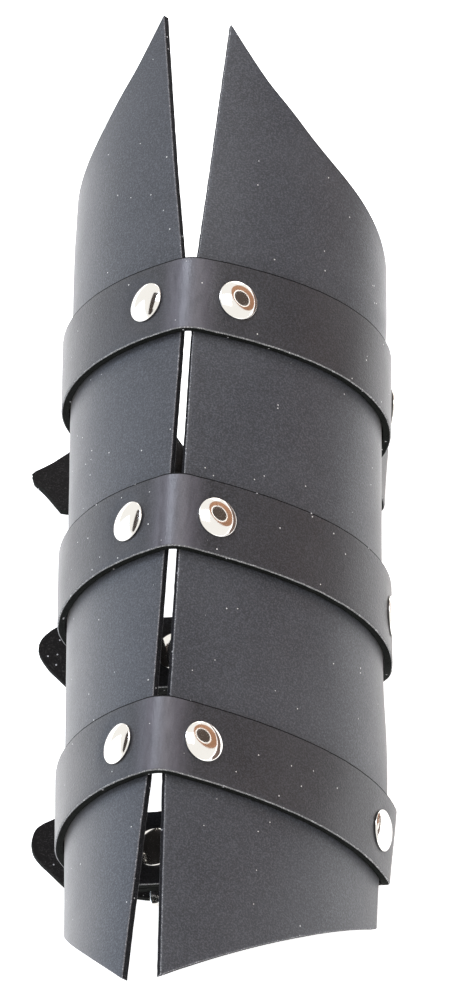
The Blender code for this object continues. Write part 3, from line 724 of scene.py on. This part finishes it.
# RIVETS
# Double-cap rivets, pressed steel with polished nickel plate: a tubular post closed into two low domes whose
# rims grip the leather. The fifth rivet of each strap closes the buckle's fold and has a flat back.
CAP_RADIUS, CAP_HEIGHT, CAP_RIM = 6.25 * MM, 2.1 * MM, 0.45 * MM
DOME_SHARE = 0.93
# Turned-in rim outside the dome, in shares of the cap's radius and the rim's height
ROLLED_RIM = (
    (0.958, 1.62), (0.980, 1.38), (0.994, 1.10), (1.0, 0.80), (0.994, 0.45), (0.970, 0.12), (0.94, 0.0),
)
BEND_ROOM, FOLD_SEAT = 0.65 * MM, 0.05 * MM


def nickel_finish(name, rough):
    """Polished nickel plate, a little hazy from handling."""
    material, tree, shader, coords = start_material(name, Metallic=1.0)
    smear = node(tree, "ShaderNodeTexNoise", {"Scale": 240.0, "Detail": 4.0, "Roughness": 0.6},
                 {"Vector": coords})
    haze = node(tree, "ShaderNodeMapRange", {"From Min": 0.35, "From Max": 0.7, "To Min": rough[0],
                "To Max": rough[1]}, {"Value": smear.outputs["Fac"]})
    tree.links.new(haze.outputs["Result"], shader.inputs["Roughness"])
    tint = mix(tree, (0.97, 0.955, 0.925), (0.93, 0.91, 0.865), smear.outputs["Fac"])
    tree.links.new(tint, shader.inputs["Base Color"])
    bump(tree, shader, smear.outputs["Fac"], 0.05, 0.00005)
    return material


def dome(seat, way):
    """Cap's profile from its crown down to the post."""
    rise = CAP_HEIGHT - CAP_RIM
    points = []
    for i in range(13):
        radius = DOME_SHARE * i / 12
        points.append((CAP_RADIUS * radius, CAP_RIM + rise * (1 - radius**2) ** 0.75))
    points += [(CAP_RADIUS * radius, CAP_RIM * height) for radius, height in ROLLED_RIM]
    points.append((POST_RADIUS, 0.0))
    return [(radius, seat + way * height) for radius, height in points]


def turned(profile, matrix):
    """Turn a profile of (radius, height) pairs round its axis and put it in its place."""
    work = bmesh.new()
    points = [work.verts.new((radius, 0, height)) for radius, height in profile]
    line = [work.edges.new(pair) for pair in zip(points, points[1:])]
    bmesh.ops.spin(work, geom=points + line, cent=(0, 0, 0), axis=(0, 0, 1), angle=2 * math.pi, steps=48,
                   use_merge=True, use_duplicate=False)
    bmesh.ops.remove_doubles(work, verts=work.verts, dist=1e-6)
    bmesh.ops.recalc_face_normals(work, faces=work.faces)
    work.transform(matrix)
    return work


cap_nickel = nickel_finish("cap_nickel", (0.05, 0.13))


def set_rivet(name, node_name, profile, matrix):
    """Turn one rivet and put it in place of its node."""
    rivet = add_piece(name, turned(profile, LAID_DOWN @ matrix), [cap_nickel])
    rivet.data.shade_smooth()
    rivet.data.set_sharp_from_angle(angle=math.radians(50))
    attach(rivet, "root")
    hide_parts(node_name)


double_cap = dome(-(LEATHER_WALL + BEND_ROOM), -1) + dome(CAP_SEAT, 1)[::-1]
for (row, place, side), seat in SEATS.items():
    hand = "right" if side > 0 else "left"
    set_rivet(f"{row}_{place}_{hand}_rivet", f"rivet_{row}_{place}_{hand}", double_cap, seat)
back = -(LEATHER_WALL + GAP)
flat_back = [(0.0, back - BACK_HEIGHT), (0.85 * BACK_RADIUS, back - BACK_HEIGHT),
             (BACK_RADIUS, back - 0.6 * BACK_HEIGHT), (BACK_RADIUS, back), (POST_RADIUS, back)]
chape_cap = flat_back + dome(GAP + LEATHER_WALL + FOLD_SEAT, 1)[::-1]
for row in STRAPS:
    set_rivet(f"{row}_fold_rivet", f"rivet_{row}_chape", chape_cap,
              under_frame(row, BUCKLE_X - RIVETS[row]["fold"], CHAPE))

# BUCKLES
# Centre-bar buckles cast in zinc and nickel plated. The strap folds round the arched centre bar, and the
# flat prong is bent round it too and rests on the right bar, through a hole in the tongue.
SIDE_ROOM, FRAME_ROUNDING, PRONG_ROUNDING = 0.9 * MM, 0.62 * MM, 0.35 * MM
CORNER_SHARE = 0.955
buckle_nickel = nickel_finish("buckle_nickel", (0.14, 0.26))


def buckle_frame(row):
    """Frame with its centre bar: a grid with two windows, arched along the strap and thickened."""
    half, bar = BUCKLE_HALF, BAR / 2
    inner = STRAP_WIDTH / 2 + SIDE_ROOM
    xs = (-half - bar, -half + bar, -half / 2, -bar, bar, half / 2, half - bar, half + bar)
    ys = (-inner - BAR, -inner, inner, inner + BAR)
    work = bmesh.new()
    bmesh.ops.create_grid(work, x_segments=7, y_segments=3, size=0.5)
    windows = [f for f in work.faces if abs(f.calc_center_median().y) < 0.1
               and round((f.calc_center_median().x + 0.5) * 7 - 0.5) not in (0, 3, 6)]
    bmesh.ops.delete(work, geom=windows, context="FACES")
    for vertex in work.verts:
        i, j = round((vertex.co.x + 0.5) * 7), round((vertex.co.y + 0.5) * 3)
        x = xs[i] * (CORNER_SHARE if i in (0, 7) and j in (0, 3) else 1.0)
        share = min(1.0, max(0.0, (abs(xs[i]) - bar) / (half - BAR)))
        vertex.co = (x, ys[j], BAR_ARCH * (1 - share**2) + bar)
    body = bmesh.ops.extrude_face_region(work, geom=work.faces[:])
    lower = [e for e in body["geom"] if isinstance(e, bmesh.types.BMVert)]
    bmesh.ops.translate(work, verts=lower, vec=(0, 0, -BAR))
    bmesh.ops.recalc_face_normals(work, faces=work.faces)
    bmesh.ops.bevel(work, geom=work.edges[:], offset=FRAME_ROUNDING, affect="EDGES", segments=3,
                    profile=0.5, material=-1, clamp_overlap=True)
    work.transform(LAID_DOWN @ under_frame(row, BUCKLE_X, 0.0))
    return work


def prong_strip(row):
    """Prong: a strip bent round the centre bar, dropping to rest on the right bar."""
    mean = BAR / 2 * math.sqrt(2) + GAP + PRONG_THICK / 2
    tip_level = -BAR_ARCH - BAR / 2 - GAP - PRONG_THICK / 2
    turns = [math.radians(210 - 15 * i) for i in range(15)]
    line = [(mean * math.cos(a), mean * math.sin(a)) for a in turns]
    line += [(1.2 * mean, -0.27 * mean), (1.35 * mean, -0.5 * mean), (0.36 * BUCKLE_HALF, 0.33 * tip_level),
             (0.42 * BUCKLE_HALF, 0.42 * tip_level), (0.65 * BUCKLE_HALF, 0.72 * tip_level)]
    line += [(BUCKLE_HALF - BAR / 2 - GAP, tip_level), (BUCKLE_HALF + 0.5 * BAR, tip_level),
             (BUCKLE_HALF + BAR, tip_level)]
    count = len(line) - 1
    work = bmesh.new()
    bmesh.ops.create_grid(work, x_segments=count, y_segments=2, size=0.5)
    for vertex in work.verts:
        i, across = round((vertex.co.x + 0.5) * count), 2 * vertex.co.y
        x, z = line[i]
        narrow = {count: 0.55, count - 1: 0.9}.get(i, 1.0)
        vertex.co = (x, across * PRONG_WIDTH / 2 * narrow, z)
    bmesh.ops.recalc_face_normals(work, faces=work.faces)
    work.normal_update()
    middle = {vertex: vertex.normal.copy() for vertex in work.verts}
    for vertex, normal in middle.items():
        vertex.co += normal * PRONG_THICK / 2
    body = bmesh.ops.extrude_face_region(work, geom=work.faces[:])
    other = [e for e in body["geom"] if isinstance(e, bmesh.types.BMVert)]
    for vertex in other:
        twin = min(middle, key=lambda v: (v.co - vertex.co).length)
        vertex.co -= middle[twin] * PRONG_THICK
    bmesh.ops.recalc_face_normals(work, faces=work.faces)
    rims = [e for e in work.edges if e.calc_face_angle(0) > math.radians(50)]
    bmesh.ops.bevel(work, geom=rims, offset=PRONG_ROUNDING, affect="EDGES", segments=3, profile=0.5,
                    material=-1)
    work.transform(LAID_DOWN @ under_frame(row, BUCKLE_X, BAR_ARCH))
    return work


for row in STRAPS:
    for name, work in (("buckle", buckle_frame(row)), ("prong", prong_strip(row))):
        metal = add_piece(f"{row}_{name}", work, [buckle_nickel])
        metal.data.shade_smooth()
        metal.data.set_sharp_from_angle(angle=math.radians(40))
        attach(metal, "root")
        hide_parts(f"{name}_{row}")

# STUDIO
# A plain white table in a bright white room: a window at the left, one lamp over the ridge, and softer ones at
# the upper right and behind. The boards are hidden from the camera, for the polished caps and the leather to
# mirror.
table_work = bmesh.new()
bmesh.ops.create_grid(table_work, x_segments=1, y_segments=1, size=2)
table_white, tree, shader, coords = start_material("table_white", Roughness=0.7)
shader.inputs["Base Color"].default_value = (0.86, 0.86, 0.86, 1)
shader.inputs["Emission Color"].default_value = (1, 1, 1, 1)
seen = node(tree, "ShaderNodeLightPath")
glow = node(tree, "ShaderNodeMapRange", {"To Min": 0.7, "To Max": 0.85},
            {"Value": seen.outputs["Is Camera Ray"]})
tree.links.new(glow.outputs["Result"], shader.inputs["Emission Strength"])
table = add_piece("table", table_work, [table_white])


def aimed(thing, location, target):
    """Stand a lamp or board at a place and turn it to face a target."""
    thing.location = location
    thing.rotation_euler = (Vector(target) - Vector(location)).to_track_quat("-Z", "Y").to_euler()


def soft_light(name, location, target, size, power, colour):
    lamp = bpy.data.lights.new(name, "AREA")
    lamp.shape = "RECTANGLE"
    lamp.size, lamp.size_y = size
    lamp.energy = power
    lamp.color = colour
    holder = bpy.data.objects.new(name, lamp)
    holder.visible_camera = False
    aimed(holder, location, target)
    bpy.context.scene.collection.objects.link(holder)


soft_light("window_left", (-1.2, -0.05, 0.4), (0, -0.05, 0.08), (1.2, 0.7), 3, (0.42, 0.66, 1.0))
soft_light("over_ridge", (-0.45, 0.43, 1.65), (0, 0, 0.1), (0.7, 0.6), 18, (0.80, 0.87, 1.0))
soft_light("ceiling_right", (0.62, 0.12, 1.55), (0, 0, 0.1), (0.8, 0.8), 5, (1.0, 0.96, 0.94))
soft_light("behind", (0.1, 1.4, 0.35), (0, 0, 0.06), (1.0, 0.5), 4, (1.0, 0.96, 0.9))
# Name, colour, width and height, corners and place of each board, and its turn in degrees where it lies level
for name, colour, size, corners, location, level in (
    ("brown_screen", (0.27, 0.135, 0.072), (1.46, 1.46), 48, (1.13, 0.66, 0.62), None),
    ("pale_hoop", (1.0, 0.97, 0.92), (0.77, 0.77), 48, (0.98, 0.47, 0.69), None),
    ("dark_hoop", (0.040, 0.025, 0.017), (0.67, 0.67), 48, (0.97, 0.465, 0.685), None),
    ("dark_beam", (0.022, 0.013, 0.009), (0.60, 1.9), 4, (-1.1, -0.05, 1.42), -25),
    ("brown_mat", (0.10, 0.06, 0.045), (0.55, 0.95), 4, (0.50, 0.28, 0.002), 0),
):
    board_work = bmesh.new()
    turn = Matrix.Rotation(math.pi / 4, 4, "Z") if corners == 4 else Matrix()
    bmesh.ops.create_circle(board_work, cap_ends=True, segments=corners, matrix=turn,
                            radius=math.sqrt(0.5) if corners == 4 else 0.5)
    board_work.transform(Matrix.Diagonal((*size, 1, 1)))
    paint, tree, shader, coords = start_material(name, Roughness=0.8)
    shader.inputs["Base Color"].default_value = (*colour, 1)
    board = add_piece(name, board_work, [paint])
    aimed(board, location, (0, 0, 0.1))
    if level is not None:
        board.rotation_euler = (0, 0, math.radians(level))
    board.visible_camera = False
    board.visible_diffuse = board.visible_shadow = name != "brown_mat"
world = bpy.data.worlds.new("studio")
world.use_nodes = True
world.node_tree.nodes["Background"].inputs["Color"].default_value = (1.0, 0.985, 0.96, 1)
world.node_tree.nodes["Background"].inputs["Strength"].default_value = 0.95
bpy.context.scene.world = world
bpy.context.scene.view_settings.view_transform = "Standard"
camera_data = bpy.data.cameras.new("photo_view")
camera_data.lens = 277.47
camera_data.sensor_width = 36
camera = bpy.data.objects.new("photo_view", camera_data)
camera.location = (0.56028, -1.48371, 1.74592)
camera.rotation_euler = [math.radians(angle) for angle in (42.2574, 12.6074, 6.2758)]
bpy.context.scene.collection.objects.link(camera)
bpy.context.scene.camera = camera
